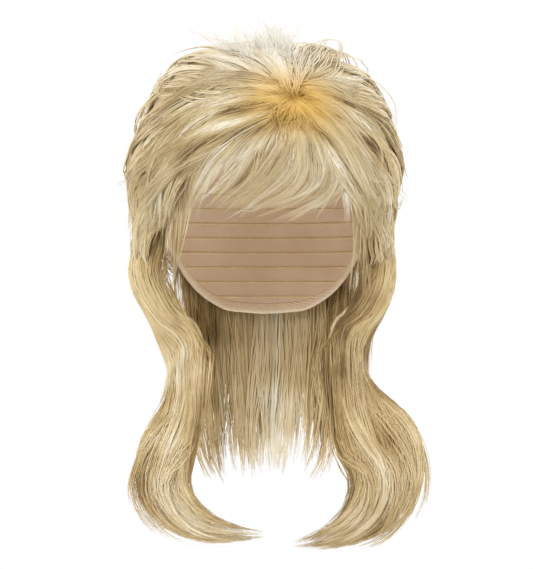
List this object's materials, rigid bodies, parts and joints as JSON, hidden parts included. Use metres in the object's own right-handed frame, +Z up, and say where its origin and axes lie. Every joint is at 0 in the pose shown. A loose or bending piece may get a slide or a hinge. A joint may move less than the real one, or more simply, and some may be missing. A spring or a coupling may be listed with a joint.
{
  "type": "wig",
  "caption": "Shaggy layered wig: a thin elastic cap carrying a teased crown, swept fringe, temple layers and long falls of hair.",
  "frame": {"origin": "inside of the cap where the top of the head meets it", "axes": "+Z up, +Y towards the back of the head, +X to the left hand of the wearer, which is the right of a front view"},
  "size_m": [0.2178, 0.2484, 0.3731],
  "materials": {
    "cap_net": "matt beige elastic net",
    "crown_fibre": "soft satin hair fibre, pale blonde with golden roots",
    "fringe_fibre": "soft satin hair fibre, pale blonde",
    "length_fibre": "satin hair fibre, honey blonde with pale ends"
  },
  "bodies": {
    "root": {"cap": "cap_net", "crown_hair": "crown_fibre", "fringe": "fringe_fibre", "temple_left": "fringe_fibre", "temple_right": "fringe_fibre", "fall_left": "length_fibre", "fall_right": "length_fibre", "fall_back": "length_fibre"}
  },
  "joints": []
}
